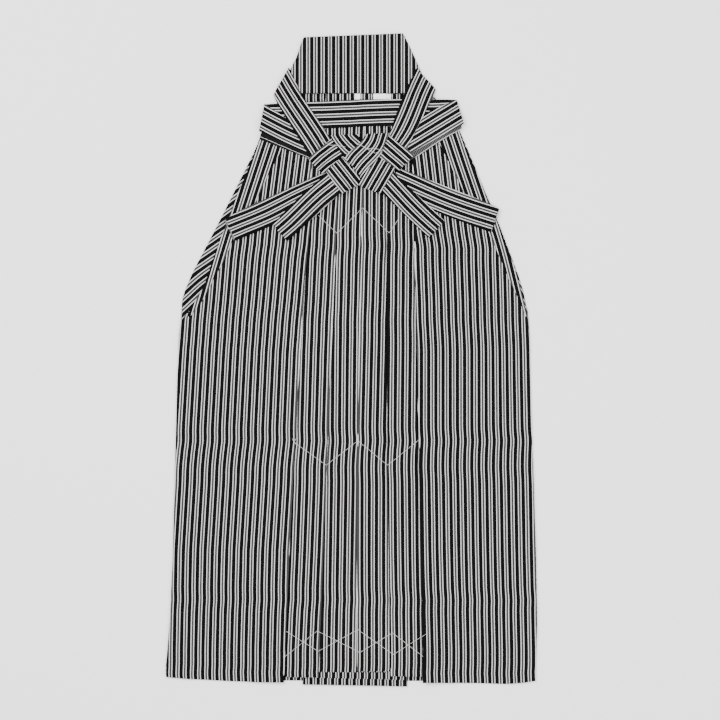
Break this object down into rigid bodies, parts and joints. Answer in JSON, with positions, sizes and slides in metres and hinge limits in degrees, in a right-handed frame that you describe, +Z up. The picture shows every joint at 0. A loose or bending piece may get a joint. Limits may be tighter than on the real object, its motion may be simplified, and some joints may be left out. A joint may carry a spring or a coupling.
{
  "type": "hakama",
  "caption": "Undivided pleated striped hakama laid flat, front up, with its stiff back board above the waist and its ties folded into a flat cross",
  "frame": {"origin": "the middle of the garment's outline, on the surface that it lies on", "axes": "+X to the right of the picture, +Y from the hem towards the back board, +Z up, out of the surface"},
  "size_m": [0.6082, 1.0709, 0.0245],
  "materials": {
    "striped_skirt": "striped twill",
    "striped_tie": "striped twill",
    "white_label": "blank woven label"
  },
  "bodies": {
    "root": {"back_panel": "striped_skirt", "back_board": "striped_skirt", "front_panel": "striped_skirt", "side_pleat_left": "striped_skirt", "side_pleat_right": "striped_skirt", "waistband": "striped_tie", "front_tie_left": "striped_tie", "front_tie_right": "striped_tie", "front_tie_left_under": "striped_tie", "front_tie_right_under": "striped_tie", "back_tie_left": "striped_tie", "back_tie_right": "striped_tie", "knot_core": "striped_tie", "knot_top_left": "striped_tie", "knot_upper_right": "striped_tie", "knot_centre": "striped_tie", "knot_lower_right": "striped_tie", "knot_upper_left": "striped_tie", "knot_lower_left": "striped_tie", "tie_end_left_outer": "striped_tie", "tie_end_left_inner": "striped_tie", "tie_end_right_outer": "striped_tie", "tie_end_right_inner": "striped_tie", "label_small": "white_label", "label_wide": "white_label"}
  },
  "joints": []
}
